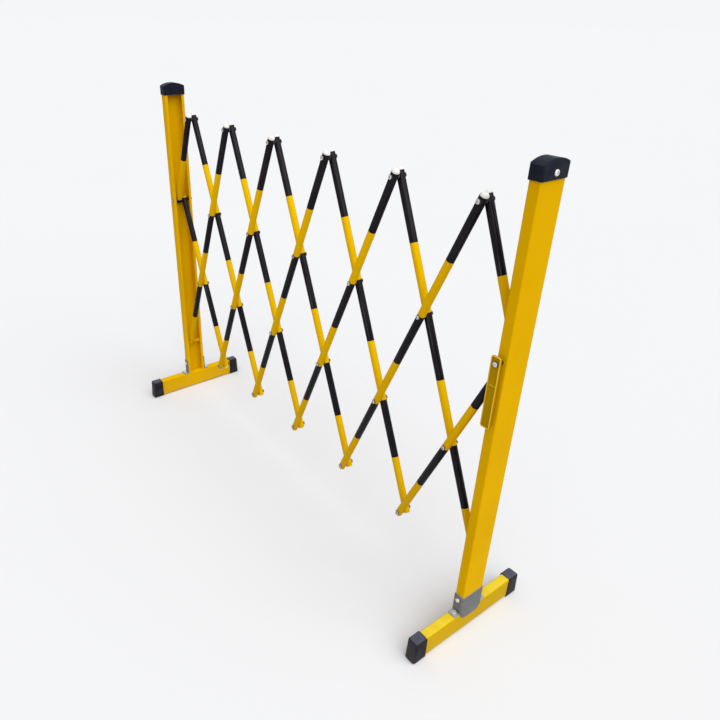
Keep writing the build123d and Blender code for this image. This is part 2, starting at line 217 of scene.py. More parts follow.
scuffs, given, result = new_group("scuffs", "Mask", FLOAT, Scale=18.0, Width=0.012)
warp = noise(scuffs, given["Place"], scale=9.0, detail=2.0)["Color"]
bent = add(scuffs, "ShaderNodeVectorMath", {0: given["Place"], 1: warp}, operation="ADD").outputs[0]
cells = {"Vector": bent, "Scale": given["Scale"]}
cracks = add(scuffs, "ShaderNodeTexVoronoi", cells, feature="DISTANCE_TO_EDGE").outputs["Distance"]
lines = remap(scuffs, cracks, 0.0, given["Width"], 1.0, 0.0)
patches = noise(scuffs, given["Place"], scale=14.0, detail=4.0)[0]
sparse = remap(scuffs, patches, *SCUFF_PATCHES)
scuffs.links.new(sums(scuffs, "MULTIPLY", lines, sparse), result["Mask"])
print("effect:", scuffs.name)

# %% [markdown]
# ## Floor dust
# The feet gather dust from the floor. Height alone would draw a straight fade, so a noise breaks it up.

# %% Floor dust
DUST_PATCHES = (0.35, 0.7)

floor_dust, given, result = new_group("floor_dust", "Mask", FLOAT, Height=0.07)
height = add(floor_dust, "ShaderNodeSeparateXYZ", {0: given["Place"]}).outputs["Z"]
fade = remap(floor_dust, height, 0.0, given["Height"], 1.0, 0.0)
clouds = noise(floor_dust, given["Place"], scale=35.0, detail=6.0)[0]
broken = remap(floor_dust, clouds, *DUST_PATCHES)
floor_dust.links.new(sums(floor_dust, "MULTIPLY", fade, broken), result["Mask"])
print("effect:", floor_dust.name)

# %% [markdown]
# ## Light painted by facing
# Faces that look up get a painted highlight, the boots' ends are painted lighter, and rivet heads get painted
# shade round a bright crown.
# Such light could be painted on by hand. Here the surface's own normal tells which way a face looks,
# so the painted light is right on every copy of a piece.

# %% Light painted by facing
UPWARD = (0.0, 0.0, 1.0)
FORWARD = (0.0, -1.0, 0.0)
REARWARD = (0.0, 1.0, 0.0)
FACING_SPAN = (0.7, 0.98)
PATCHY_SPAN = (0.55, 1.0)

# painted light: a mask of faces that look one way, broken into patches by a noise
painted_light_by_facing, given, result = new_group("painted_light_by_facing", "Mask", FLOAT, Direction=UPWARD)
two_ways = {0: add(painted_light_by_facing, "ShaderNodeTexCoord").outputs["Normal"], 1: given["Direction"]}
facing = add(painted_light_by_facing, "ShaderNodeVectorMath", two_ways, operation="DOT_PRODUCT").outputs["Value"]
flat = remap(painted_light_by_facing, facing, *FACING_SPAN)
blotches = noise(painted_light_by_facing, given["Place"], scale=40.0, detail=5.0)[0]
patchy = remap(painted_light_by_facing, blotches, *NOISE_SPAN, *PATCHY_SPAN)
painted_light_by_facing.links.new(sums(painted_light_by_facing, "MULTIPLY", flat, patchy), result["Mask"])
print("effect:", painted_light_by_facing.name)

# %% [markdown]
# ## Layers of the yellow coat
# The steel is sprayed with safety yellow powder and baked.
# The colour drifts with the thickness of the coat, and the gloss breaks up over a faint orange peel.
# Dust sits on the lowest few centimetres. Several yellows have the same layers, so these are functions.

# %% Layers of the yellow coat
YELLOW_DEEP = (0.76, 0.432, 0.0006, 1.0)
YELLOW_BRIGHT = (0.83, 0.484, 0.0008, 1.0)
YELLOW_SCUFFED = (0.84, 0.54, 0.04, 1.0)
YELLOW_SCUFF_SHARE = 0.4
YELLOW_SHINE = 0.006
COAT_GLOSS = (0.30, 0.44)
COAT_DUST_SHARE = 0.12
DUST = (0.33, 0.29, 0.23, 1.0)


def coat_of_yellow(tree, place, deep=YELLOW_DEEP, bright=YELLOW_BRIGHT):
    """The yellow's colour, with its drift in tone and its scuffs."""
    drift = noise(tree, place, scale=4.0, detail=3.0)[0]
    colour = blend(tree, remap(tree, drift, *NOISE_SPAN), deep, bright)
    marks = sums(tree, "MULTIPLY", use_group(tree, scuffs, Place=place), YELLOW_SCUFF_SHARE)
    return blend(tree, marks, colour, YELLOW_SCUFFED)


def broken_gloss(tree, place, low, high, scale=30.0):
    """A roughness that wanders between two values."""
    return remap(tree, noise(tree, place, scale, detail=5.0)[0], *NOISE_SPAN, low, high)


def bake_coat(tree, shader, place, colour):
    """Dusts a colour near the floor and gives it the gloss and the orange peel of a baked coat."""
    dust = sums(tree, "MULTIPLY", use_group(tree, floor_dust, Place=place), COAT_DUST_SHARE)
    fill(tree, shader, {
        "Base Color": blend(tree, dust, colour, DUST),
        "Roughness": broken_gloss(tree, place, *COAT_GLOSS),
        "Normal": use_group(tree, fine_bump, Place=place),
        "Specular IOR Level": YELLOW_SHINE,
    })


print("yellow layers ready")

# %% [markdown]
# ## Yellow finishes
# The posts and the left foot wear the plain yellow. The right foot is greener, with a painted highlight on
# its upward faces.
# The lever's coat is a darker olive, partly its own duller tone and partly painted shade of its recessed web,
# with a painted highlight along its rim.
# The lever's rim stands nearest to the front, so its place along Y tells it from the web.

# %% Yellow finishes
LEMON_DEEP = (0.62, 0.395, 0.003, 1.0)
LEMON_BRIGHT = (0.69, 0.45, 0.006, 1.0)
# painted highlight: the lighter colour of the right foot's upward faces
LEMON_TOP_HIGHLIGHT = (0.82, 0.63, 0.045, 1.0)
# darker olive: partly the lever's own duller tone, partly painted shade of its recessed web
OLIVE_DEEP = (0.42, 0.245, 0.002, 1.0)
OLIVE_BRIGHT = (0.48, 0.285, 0.003, 1.0)
# painted highlight along the lever's front rim
RIM_HIGHLIGHT = (0.86, 0.60, 0.05, 1.0)
RIM_FADE = 0.0020

yellow_coat, tree, shader, place = new_finish("yellow_powder_coat")
bake_coat(tree, shader, place, coat_of_yellow(tree, place))

foot_coat, tree, shader, place = new_finish("foot_coat")
coat = coat_of_yellow(tree, place, LEMON_DEEP, LEMON_BRIGHT)
# painted highlight on the foot's upward faces
lit_tops = use_group(tree, painted_light_by_facing, Place=place)
bake_coat(tree, shader, place, blend(tree, lit_tops, coat, LEMON_TOP_HIGHLIGHT))

lever_coat, tree, shader, place = new_finish("lever_coat")
coat = coat_of_yellow(tree, place, OLIVE_DEEP, OLIVE_BRIGHT)
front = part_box("lock_lever")[0].y
depth = add(tree, "ShaderNodeSeparateXYZ", {0: place}).outputs["Y"]
# painted highlight on the rim, which stands nearest to the front
rim = remap(tree, depth, front, front + RIM_FADE, 1.0, 0.0)
bake_coat(tree, shader, place, blend(tree, rim, coat, RIM_HIGHLIGHT))
print("finishes:", yellow_coat.name, foot_coat.name, lever_coat.name)

# %% [markdown]
# ## Where each bar stands
# Every bar leans one way or the other. A bar is made upright, with its top pivot at zero,
# and a matrix takes it to its place. Bars, plugs and bands all use these measures.
# The short bars at the ends don't reach the top row, but they are measured from it too.

# %% Where each bar stands


def bar_span(name):
    """Upper and lower end of a bar, measured along it from its top pivot."""
    low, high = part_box(name)
    upper = (high.z - bar_radius * math.sin(lean) - last_peak.z) / math.cos(lean)
    lower = (low.z + bar_radius * math.sin(lean) - last_peak.z) / math.cos(lean)
    return upper, lower


def bar_top(name):
    """A bar's top pivot and its tilt."""
    low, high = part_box(name)
    side = 1 if name.startswith("front") else -1
    drop = last_peak.z - high.z + bar_radius * math.sin(lean)
    reach = bar_radius * math.cos(lean) - drop * math.tan(lean)
    x = high.x - reach if side > 0 else low.x + reach
    return Vector((x, -side * layer_y, last_peak.z)), side * lean


def bar_place(name):
    """The matrix that takes an upright bar to its place."""
    top, tilt = bar_top(name)
    return Matrix.Translation(top) @ Matrix.Rotation(tilt, 4, "Y")


top_end, low_end = bar_span("front_bar_4")
full_length = top_end - low_end
print(f"the longest bars measure {1000 * full_length:.1f} mm")

# %% [markdown]
# ## Banded bar paint
# A long bar carries six equal bands, black first at the top, sprayed over the yellow.
# Each band could be its own strip of faces with its own material. A rule in the material is shorter:
# a Mapping node turns and moves the coordinates until the bar stands upright,
# and the rule counts the bands from the top and makes every other one black.

# %% Banded bar paint
BANDS = 6
BAND_WOBBLE = 0.0012
BAR_YELLOW_DEEP = (0.785, 0.462, 0.0008, 1.0)
BAR_YELLOW_BRIGHT = (0.855, 0.522, 0.001, 1.0)
BAR_GLOSS = (0.20, 0.32)
BLACK_SATIN = (0.0055, 0.0042, 0.0072, 1.0)
BLACK_WORN = (0.014, 0.012, 0.018, 1.0)
BLACK_PATCHES = (0.45, 0.75)
BLACK_SCUFFED = (0.09, 0.085, 0.085, 1.0)
BLACK_SCUFF_SHARE = 0.5
BLACK_GLOSS = 0.22
BLACK_GLOSS_ROUGHNESS = 0.15

bar_overhang = (full_length - (ROWS - 1) * pivot_pitch) / 2
band_length = full_length / BANDS


def black_bands(tree, name, place):
    """One on a bar's black bands and zero on its yellow ones, counted along the bar's own length."""
    upright = bar_place(name).inverted()
    turn = {"Vector": place, "Location": upright.to_translation(), "Rotation": upright.to_euler()}
    turned = add(tree, "ShaderNodeMapping", turn).outputs[0]
    along = add(tree, "ShaderNodeSeparateXYZ", {0: turned}).outputs["Z"]
    ripple = noise(tree, place, scale=60.0, detail=2.0)[0]
    wobble = sums(tree, "MULTIPLY", sums(tree, "SUBTRACT", ripple, 0.5), BAND_WOBBLE)
    from_top = sums(tree, "SUBTRACT", sums(tree, "ADD", bar_overhang, wobble), along)
    count = sums(tree, "DIVIDE", from_top, 2 * band_length)
    return sums(tree, "LESS_THAN", sums(tree, "FRACT", count, 0.0), 0.5)


def banded_paint(name):
    """The paint of one bar."""
    material, tree, shader, place = new_finish(name + "_paint")
    black = black_bands(tree, name, place)
    cloud = noise(tree, place, scale=22.0, detail=5.0)[0]
    dark = blend(tree, remap(tree, cloud, *BLACK_PATCHES), BLACK_SATIN, BLACK_WORN)
    marks = sums(tree, "MULTIPLY", use_group(tree, scuffs, Place=place, Scale=26.0), BLACK_SCUFF_SHARE)
    dark = blend(tree, marks, dark, BLACK_SCUFFED)
    yellow = coat_of_yellow(tree, place, BAR_YELLOW_DEEP, BAR_YELLOW_BRIGHT)
    fill(tree, shader, {
        "Base Color": blend(tree, black, yellow, dark),
        "Roughness": broken_gloss(tree, place, *BAR_GLOSS),
        "Normal": use_group(tree, fine_bump, Place=place, Scale=700.0),
        "Coat Weight": sums(tree, "MULTIPLY", black, BLACK_GLOSS),
        "Coat Roughness": BLACK_GLOSS_ROUGHNESS,
        "Specular IOR Level": YELLOW_SHINE,
    })
    return material


bar_paint = {name: banded_paint(name) for name in bar_names}
print(len(bar_paint), f"paints with bands of {1000 * band_length:.1f} mm")

# %% [markdown]
# ## Plastics and rubber
# The caps and boots are black mouldings: the caps have a fine grain, and the rubber boots are duller.
# The bar plugs are white polyethylene. Inside the posts the glides are yellow nylon and the spacers black.
# They differ only in colour, gloss and grain, so one function makes them all.

# %% Plastics and rubber
CAP_BLACK = (0.008, 0.010, 0.019, 1.0)
CAP_WORN = (0.014, 0.017, 0.029, 1.0)
BOOT_BLACK = (0.0085, 0.0072, 0.0105, 1.0)
BOOT_WORN = (0.020, 0.018, 0.024, 1.0)
# painted light: a bluish highlight on the boots' tops and lighter ends
BOOT_TOP_HIGHLIGHT = (0.095, 0.100, 0.140, 1.0)
BOOT_ENDS_LIGHT = (0.036, 0.031, 0.037, 1.0)
PLUG_WHITE = (0.86, 0.86, 0.84, 1.0)
PLUG_WORN = (0.74, 0.73, 0.69, 1.0)
NYLON_BLACK = (0.012, 0.012, 0.013, 1.0)
NYLON_BLACK_WORN = (0.03, 0.03, 0.03, 1.0)
NYLON_YELLOW = (0.66, 0.35, 0.001, 1.0)
NYLON_YELLOW_WORN = (0.72, 0.40, 0.003, 1.0)
MOULDED_PATCHES = (0.4, 0.75)
MOULDED_GLOSS = (0.4, 0.55)


def moulded(name, colour, patchy, grain, depth, gloss=MOULDED_GLOSS, dust_share=0.0, shine=0.3, lit_faces=()):
    """A moulded finish: a tone that drifts, a grain, dust near the floor and, where given, painted light on
    faces that look given ways.
    """
    material, tree, shader, place = new_finish(name)
    cloud = noise(tree, place, scale=45.0, detail=5.0)[0]
    tone = blend(tree, remap(tree, cloud, *MOULDED_PATCHES), colour, patchy)
    # painted light on the faces that look the given ways
    for direction, pale in lit_faces:
        share = use_group(tree, painted_light_by_facing, Place=place, Direction=direction)
        tone = blend(tree, share, tone, pale)
    dust = sums(tree, "MULTIPLY", use_group(tree, floor_dust, Place=place), dust_share)
    fill(tree, shader, {
        "Base Color": blend(tree, dust, tone, DUST),
        "Roughness": broken_gloss(tree, place, *gloss),
        "Normal": use_group(tree, fine_bump, Place=place, Scale=grain, Depth=depth),
        "Specular IOR Level": shine,
    })
    return material


cap_plastic = moulded("cap_plastic", CAP_BLACK, CAP_WORN, grain=1400.0, depth=0.00006, shine=0.06)
# the boots get painted light: a bluish highlight on their tops and lighter ends
boot_rubber = moulded(
    "boot_rubber", BOOT_BLACK, BOOT_WORN, grain=900.0, depth=0.00006, gloss=(0.5, 0.7), dust_share=0.08,
    shine=0.14, lit_faces=((UPWARD, BOOT_TOP_HIGHLIGHT), (FORWARD, BOOT_ENDS_LIGHT), (REARWARD, BOOT_ENDS_LIGHT)),
)
plug_plastic = moulded("plug_plastic", PLUG_WHITE, PLUG_WORN, grain=600.0, depth=0.00002, gloss=(0.35, 0.5))
nylon = moulded("nylon", NYLON_BLACK, NYLON_BLACK_WORN, grain=800.0, depth=0.00003)
yellow_nylon = moulded("yellow_nylon", NYLON_YELLOW, NYLON_YELLOW_WORN, grain=800.0, depth=0.00003, shine=0.1)
print("finishes:", [finish.name for finish in (cap_plastic, boot_rubber, plug_plastic, nylon, yellow_nylon)])

# %% [markdown]
# ## Zinc
# The brackets are hot-dip galvanised, which leaves a grey skin of frozen crystals, called spangle.
# A Voronoi texture gives each crystal its own tone. The flanges on top of the feet get a painted glint on
# their upward faces.
# Rivets, pins, screws and bolts are plated, so they are brighter.
# The heads of rivets and pins get painted shade round their flanks, and only their crowns keep the plating's
# bright colour.

# %% Zinc finishes
ZINC_DULL = (0.135, 0.142, 0.147, 1.0)
ZINC_BRIGHT = (0.205, 0.213, 0.218, 1.0)
# painted glint on the flanges' upward faces
ZINC_TOP_GLINT = (0.47, 0.48, 0.49, 1.0)
ZINC_GLOSS = (0.38, 0.56)
ZINC_METALLIC = 0.75
PLATING_DULL = (0.68, 0.67, 0.64, 1.0)
PLATING_BRIGHT = (0.88, 0.87, 0.84, 1.0)
PLATING_GLOSS = (0.3, 0.48)
PLATING_METALLIC = 0.85
# painted shade round the heads of rivets and pins
HEAD_SHADE = (0.085, 0.080, 0.070, 1.0)

zinc_plate, tree, shader, place = new_finish("galvanised")
crystals = add(tree, "ShaderNodeTexVoronoi", {"Vector": place, "Scale": 190.0}).outputs["Color"]
tone = add(tree, "ShaderNodeRGBToBW", {0: crystals}).outputs[0]
skin = blend(tree, tone, ZINC_DULL, ZINC_BRIGHT)
fill(tree, shader, {
    # the upward faces get a painted glint
    "Base Color": blend(tree, use_group(tree, painted_light_by_facing, Place=place), skin, ZINC_TOP_GLINT),
    "Roughness": remap(tree, tone, 0.0, 1.0, *ZINC_GLOSS),
    "Normal": use_group(tree, fine_bump, Place=place, Scale=250.0),
    "Metallic": ZINC_METALLIC,
})


def plated(name, crowns=()):
    """Bright plating, or painted shade with the plating left on the crowns that face the given directions."""
    material, tree, shader, place = new_finish(name)
    cloud = noise(tree, place, scale=160.0, detail=4.0)[0]
    plating_tone = blend(tree, cloud, PLATING_DULL, PLATING_BRIGHT)
    colour = HEAD_SHADE if crowns else plating_tone
    for direction in crowns:
        share = use_group(tree, painted_light_by_facing, Place=place, Direction=direction)
        colour = blend(tree, share, colour, plating_tone)
    fill(tree, shader, {
        "Base Color": colour,
        "Roughness": broken_gloss(tree, place, *PLATING_GLOSS, scale=120.0),
        "Normal": use_group(tree, fine_bump, Place=place, Scale=900.0, Depth=0.00001),
        "Metallic": PLATING_METALLIC,
    })
    return material


zinc_fastener = plated("plated_zinc")
# rivet and pin heads: painted shade with bright plated crowns
zinc_heads = plated("plated_heads", (FORWARD, REARWARD))
print("finishes:", zinc_plate.name, zinc_fastener.name, zinc_heads.name)

# %% [markdown]
# ## Start and select
# A piece starts as a primitive at its size and place. An operator works on whatever is selected,
# and the loaded solids arrive selected, so each piece starts by clearing the selection.
# Vertices, edges and faces are picked by where they are.

# %% Start and select
SAME = 1e-5  # two places nearer than this are one
FACING = 0.9  # a normal with this much along an axis faces that way


def clear_selection():
    bpy.ops.object.select_all(action="DESELECT")


def named(name):
    """Names the primitive that was just added and puts its size and place into its mesh."""
    piece = bpy.context.object
    piece.name = piece.data.name = name
    bpy.ops.object.transform_apply(location=True, rotation=True, scale=True)
    return piece


def add_block(name, low, high):
    """A cube primitive stretched between two corners."""
    clear_selection()
    low, high = Vector(low), Vector(high)
    bpy.ops.mesh.primitive_cube_add(size=1.0, location=(low + high) / 2)
    bpy.context.object.scale = high - low
    return named(name)


def add_drum(name, radius, low, high, sides):
    """A cylinder primitive that stands on Z between two heights."""
    clear_selection()
    middle = (0.0, 0.0, (low + high) / 2)
    bpy.ops.mesh.primitive_cylinder_add(vertices=sides, radius=radius, depth=high - low, location=middle)
    return named(name)


def pick(piece, kind, test):
    """Selects the parts of one kind that pass a test in the open piece."""
    bpy.ops.mesh.select_mode(type=kind)
    bpy.ops.mesh.select_all(action="DESELECT")
    mesh = bmesh.from_edit_mesh(piece.data)
    for part in {"VERT": mesh.verts, "EDGE": mesh.edges, "FACE": mesh.faces}[kind]:
        part.select_set(test(part))
    bmesh.update_edit_mesh(piece.data)


def pick_vertices(piece, test):
    """Selects the vertices whose place passes a test."""
    pick(piece, "VERT", lambda vertex: test(vertex.co))


def pick_edges(piece, test):
    """Selects the edges whose two ends pass a test."""
    pick(piece, "EDGE", lambda edge: test(edge.verts[0].co, edge.verts[1].co))


def pick_faces(piece, test):
    """Selects the faces whose middle and normal pass a test."""
    pick(piece, "FACE", lambda face: test(face.calc_center_median(), face.normal))


print("helpers to start and select ready")

# %% [markdown]
# ## Shape and finish
# In edit mode a piece is shaped by a few operators: extrude, inset and bevel.
# Modifiers do the rest, such as cutting one shape with another, and are applied at once.

# %% Shape and finish


def activate(piece):
    """Selects one piece, and only that one."""
    clear_selection()
    bpy.context.view_layer.objects.active = piece
    piece.select_set(True)


def edit(piece):
    """Opens one piece in edit mode."""
    activate(piece)
    bpy.ops.object.mode_set(mode="EDIT")


def push(x=0.0, y=0.0, z=0.0):
    """Extrudes what is selected."""
    bpy.ops.mesh.extrude_region_move(TRANSFORM_OT_translate={"value": (x, y, z)})


def hollow(wall, **depth):
    """Insets the selected faces by a wall and pushes them in."""
    bpy.ops.mesh.inset(thickness=wall)
    push(**depth)


def round_edges(width, steps):
    """Bevels the selected edges."""
    bpy.ops.mesh.bevel(offset=width, segments=steps, affect="EDGES")


def close(piece, angle=35):
    """Leaves edit mode and smooths all but the sharp edges."""
    bpy.ops.object.mode_set(mode="OBJECT")
    bpy.ops.object.shade_smooth_by_angle(angle=math.radians(angle))
    return piece


def apply_modifier(piece, kind, **options):
    """Adds a modifier and applies it at once."""
    activate(piece)
    modifier = piece.modifiers.new(kind.lower(), kind)
    for option, value in options.items():
        setattr(modifier, option, value)
    bpy.ops.object.modifier_apply(modifier=modifier.name)


def soften(piece, width, steps, angle):
    """Bevels every edge that is sharper than an angle in degrees."""
    limit = math.radians(angle)
    apply_modifier(piece, "BEVEL", width=width, segments=steps, limit_method="ANGLE", angle_limit=limit)


def discard(*patterns):
    for pattern in patterns:
        bpy.data.objects.remove(pattern)


def carve(piece, tool, operation):
    """Cuts a piece with a tool, or keeps what they share, and throws the tool away."""
    apply_modifier(piece, "BOOLEAN", operation=operation, object=tool, solver="EXACT")
    discard(tool)


print("helpers to shape and finish ready")

# %% [markdown]
# ## Copy and dress
# What repeats is modelled once and copied, and each copy is moved inside its own mesh,
# so that its object stays at the origin and its finish stays in place.
# A dressed piece has its finish, rides on a moving body and hides the solid that it stands for.

# %% Copy and dress
HALF_TURN = Matrix.Rotation(math.pi, 4, "Z")
UPSIDE_DOWN = Matrix.Rotation(math.pi, 4, "X")
ALONG_Y = Matrix.Rotation(math.radians(-90), 4, "X")
AGAINST_Y = Matrix.Rotation(math.radians(90), 4, "X")
ALONG_X = Matrix.Rotation(math.radians(90), 4, "Y")
SIDES = {"right": Matrix.Identity(4), "left": HALF_TURN}


def at(x, y, z):
    """The matrix of a move."""
    return Matrix.Translation((x, y, z))


def copy_to(pattern, name, place):
    """A copy with its own mesh, moved inside that mesh."""
    twin = pattern.copy()
    twin.data = pattern.data.copy()
    twin.name = twin.data.name = name
    twin.data.transform(place)
    scene.collection.objects.link(twin)
    return twin


def joined(pieces, name):
    """Several meshes as one piece."""
    activate(pieces[0])
    for piece in pieces:
        piece.select_set(True)
    if len(pieces) > 1:
        bpy.ops.object.join()
    pieces[0].name = pieces[0].data.name = name
    return pieces[0]


def dress(piece, material, body, slot, *nodes):
    """Gives a piece its finish and its body, and lets it stand for CAD solids."""
    piece.data.materials.clear()
    piece.data.materials.append(material)
    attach(piece, body)
    if nodes:
        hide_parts(*nodes)


def dress_both_posts(pattern, name, material, slot, node):
    """A copy of a pattern on each post. The left post is the right one, turned half round."""
    for side, place in SIDES.items():
        piece = copy_to(pattern, f"{side}_{name}", place)
        dress(piece, material, side + "_post", slot, f"{side}_{node}")
    discard(pattern)


print("helpers to copy and dress ready")

# %% [markdown]
# ## Bars
# Each bar is a thin steel tube, cut square and slightly broken at the edge.
# A curve with a round bevel would make a tube too, but without a wall. So a cylinder is the start:
# both ends are inset by the wall and pushed in, which leaves the bore.
# The bars have four lengths, so four tubes are modelled and copied to their places in both layers.

# %% Bars
BAR_WALL = 0.0012
BORE_DEPTH = 0.04
EDGE_BREAK = 0.0003


def model_bar(name, upper, lower):
    """An upright tube with its top pivot at zero."""
    bar = add_drum(name, bar_radius, lower, upper, sides=48)
    edit(bar)
    for end, inward in ((upper, -BORE_DEPTH), (lower, BORE_DEPTH)):
        pick_faces(bar, lambda middle, normal: abs(middle.z - end) < SAME and abs(normal.z) > FACING)
        hollow(BAR_WALL, z=inward)
    rim = bar_radius - EDGE_BREAK
    pick_edges(bar, lambda a, b: min(a.xy.length, b.xy.length) > rim and abs(a.z - b.z) < SAME)
    round_edges(EDGE_BREAK, steps=2)
    return close(bar)


patterns = {}
for name in bar_names:
    upper, lower = bar_span(name)
    length = (round(upper, 4), round(lower, 4))
    if length not in patterns:
        patterns[length] = model_bar(f"bar_pattern_{len(patterns)}", upper, lower)
    bar = copy_to(patterns[length], name + "_tube", bar_place(name))
    dress(bar, bar_paint[name], name, "banded_paint", name)
print(len(bar_names), "bars from", len(patterns), "lengths of tube")
discard(*patterns.values())

# %% [markdown]
# ## End plugs
# A white plug closes each free end of a bar: a dome on the upper ends and a flat button on the lower ones.
# Half a sphere would not meet the tube squarely, so both are cylinders with a wide, rounded bevel.
# The stem that grips the bore is an inset pushed down from the base.

# %% End plugs
DOME_HEIGHT = 0.0070
DOME_ROUND = 0.0066
BUTTON_HEIGHT = 0.0015
BUTTON_ROUND = 0.0010
PLUG_STEM = 0.005
PLUG_SLACK = 0.0002
PLUG_REACH = 0.012  # a box of plugs that comes this near to a bar's end has a plug in it


def crowned_drum(name, radius, height, rounding, sides, steps):
    """A drum that stands at zero with its upper edge rounded, left open in edit mode."""
    drum = add_drum(name, radius, 0.0, height, sides)
    edit(drum)
    pick_edges(drum, lambda a, b: min(a.z, b.z) > height - SAME)
    round_edges(rounding, steps)
    return drum


def model_plug(name, height, rounding):
    """A plug on Z, with its head above the tube's end and its stem below."""
    plug = crowned_drum(name, bar_radius, height, rounding, sides=40, steps=8)
    pick_faces(plug, lambda middle, normal: normal.z < -FACING)
    hollow(BAR_WALL + PLUG_SLACK, z=-PLUG_STEM)
    return close(plug, angle=50)


dome = model_plug("dome_pattern", DOME_HEIGHT, DOME_ROUND)
button = model_plug("button_pattern", BUTTON_HEIGHT, BUTTON_ROUND)
plug_count = 0
for name in bar_names:
    upper, lower = bar_span(name)
    low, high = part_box(name)
    plugs_low, plugs_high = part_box(name + "_plugs")
    copies = []
    if plugs_high.z > high.z - PLUG_REACH:
        copies.append(copy_to(dome, name + "_dome", bar_place(name) @ at(0, 0, upper)))
    if plugs_low.z < low.z + PLUG_REACH:
        copies.append(copy_to(button, name + "_button", bar_place(name) @ at(0, 0, lower) @ UPSIDE_DOWN))
    plug_count += len(copies)
    dress(joined(copies, name + "_end_plugs"), plug_plastic, name, "white_plastic", name + "_plugs")
discard(dome, button)
print(plug_count, "plugs in the free ends of the bars")

# %% [markdown]
# ## Rivets
# A rivet with a domed head on each side holds every crossing, and a washer keeps the two layers apart.
# Two heads and a washer are modelled as one set, from bevelled cylinders.
# The shank is hidden in the bars, so it is left out.
# The set is copied to the crossings, and each front bar carries its own rivets.

# %% Rivet set
RIVET_HEAD_RADIUS = 0.006
RIVET_HEAD_HEIGHT = 0.003
RIVET_ROUND = 0.0022
RIVET_DIMPLE = 0.0012
DIMPLE_SHARE = 0.35
WASHER_RADIUS = 0.007
WASHER_RIM = 0.0002
SIDE_GAP = 0.0003


def domed_head(name, radius, height, rounding, dimple):
    """A low domed head on Z with a small hollow in its crown."""
    head = crowned_drum(name, radius, height, rounding, sides=28, steps=5)
    pick_faces(head, lambda middle, normal: normal.z > FACING and middle.xy.length < SAME)
    hollow((radius - rounding) * DIMPLE_SHARE, z=-dimple)
    return close(head, angle=40)


def plain_ring(name, radius, low, high, rim, sides, angle):
    """A drum whose two rims are broken by a small bevel."""
    ring = add_drum(name, radius, low, high, sides)
    edit(ring)
    pick_edges(ring, lambda a, b: abs(a.z - b.z) < SAME)
    round_edges(rim, steps=2)
    return close(ring, angle)


crown_y = layer_y + bar_radius
half_gap = layer_y - bar_radius
rivet_head = domed_head("rivet_head", RIVET_HEAD_RADIUS, RIVET_HEAD_HEIGHT, RIVET_ROUND, RIVET_DIMPLE)
washer = plain_ring("washer", WASHER_RADIUS, -half_gap, half_gap - SIDE_GAP, WASHER_RIM, sides=28, angle=40)
rear_head = copy_to(rivet_head, "rivet_rear_head", at(0, 0, crown_y + SIDE_GAP))
rivet_head.data.transform(at(0, 0, -crown_y) @ UPSIDE_DOWN)
rivet = joined([rivet_head, rear_head, washer], "rivet_pattern")
rivet.data.transform(ALONG_Y)
print("a rivet set with", len(rivet.data.polygons), "faces")

# %% Rivets at the crossings
rivet_count = 0
for name in bar_names[:BARS_IN_LAYER]:
    upper, lower = bar_span(name)
    top = bar_top(name)[0]
    copies = []
    for row in range(ROWS):
        x = top.x - row * half_cell
        if lower < -row * pivot_pitch < upper and abs(x) < post_pivot.x - half_cell / 2:
            copies.append(copy_to(rivet, "rivet", at(x, 0.0, top.z - row * row_height)))
    rivet_count += len(copies)
    dress(joined(copies, name + "_rivet_heads"), zinc_heads, name, "zinc", name + "_rivets")
discard(rivet)
print(rivet_count, "rivets with washers")

# %% [markdown]
# ## Post caps
# Each post is closed by a black moulded cap with an arched crown and long sides that lean in.
# A bevel can't make so wide an arch. So a block gets round corners, and the Boolean modifier keeps
# what it shares with a large drum. Two slanted cuts shape the sides.
# The underside is inset and pushed up, so the cap is a true cover and not a lump.

# %% Post caps
CAP_CORNER = 0.004
CAP_CROWN = 0.010
CAP_HIP = 0.007
CAP_SOFTEN = 0.0009
CAP_WALL = 0.0024

cap_low, cap_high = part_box("right_post_cap")
post_low, post_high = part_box("right_post")
cap_middle = (cap_low + cap_high) / 2
cap_size = cap_high - cap_low
cap = add_block("cap_pattern", cap_low, cap_high)
edit(cap)
pick_edges(cap, lambda a, b: abs(a.z - b.z) > cap_size.z / 2)
round_edges(CAP_CORNER, steps=5)
close(cap)
arch_radius = (cap_size.y ** 2 / 4 + CAP_CROWN ** 2) / (2 * CAP_CROWN)
arch = add_drum("arch", arch_radius, -cap_size.x, cap_size.x, sides=256)
arch.data.transform(at(cap_middle.x, 0.0, cap_high.z - arch_radius) @ ALONG_X)
carve(cap, arch, "INTERSECT")
edit(cap)
for sign in (-1, 1):
    shoulder = (cap_middle.x + sign * cap_size.x / 2, 0.0, cap_high.z - CAP_CROWN)
    slope = (sign * CAP_CROWN, 0.0, CAP_HIP)
    bpy.ops.mesh.select_all(action="SELECT")
    bpy.ops.mesh.bisect(plane_co=shoulder, plane_no=slope, use_fill=True, clear_outer=True)
pick_faces(cap, lambda middle, normal: normal.z < -FACING)
hollow(CAP_WALL, z=post_high.z - cap_low.z)
close(cap)
soften(cap, CAP_SOFTEN, steps=3, angle=25)
close(cap, angle=30)
dress_both_posts(cap, "cap", cap_plastic, "black_plastic", "post_cap")
print(f"caps of {1000 * cap_size.x:.0f} by {1000 * cap_size.y:.0f} mm")

# %% [markdown]
# ## Cap screws
# One pan-head screw holds each cap, on the outer side of the post.
# Its cross recess could be insets, but they meet badly in the middle.
# Two thin blocks cut it with the Boolean modifier, as a punch would.

# %% Cap screws
SCREW_HEAD_HEIGHT = 0.003
SCREW_ROUND = 0.0023
SCREW_SLOT = 0.0011
SCREW_SLOT_DEPTH = 0.002
SCREW_ARM_SHARE = 0.45

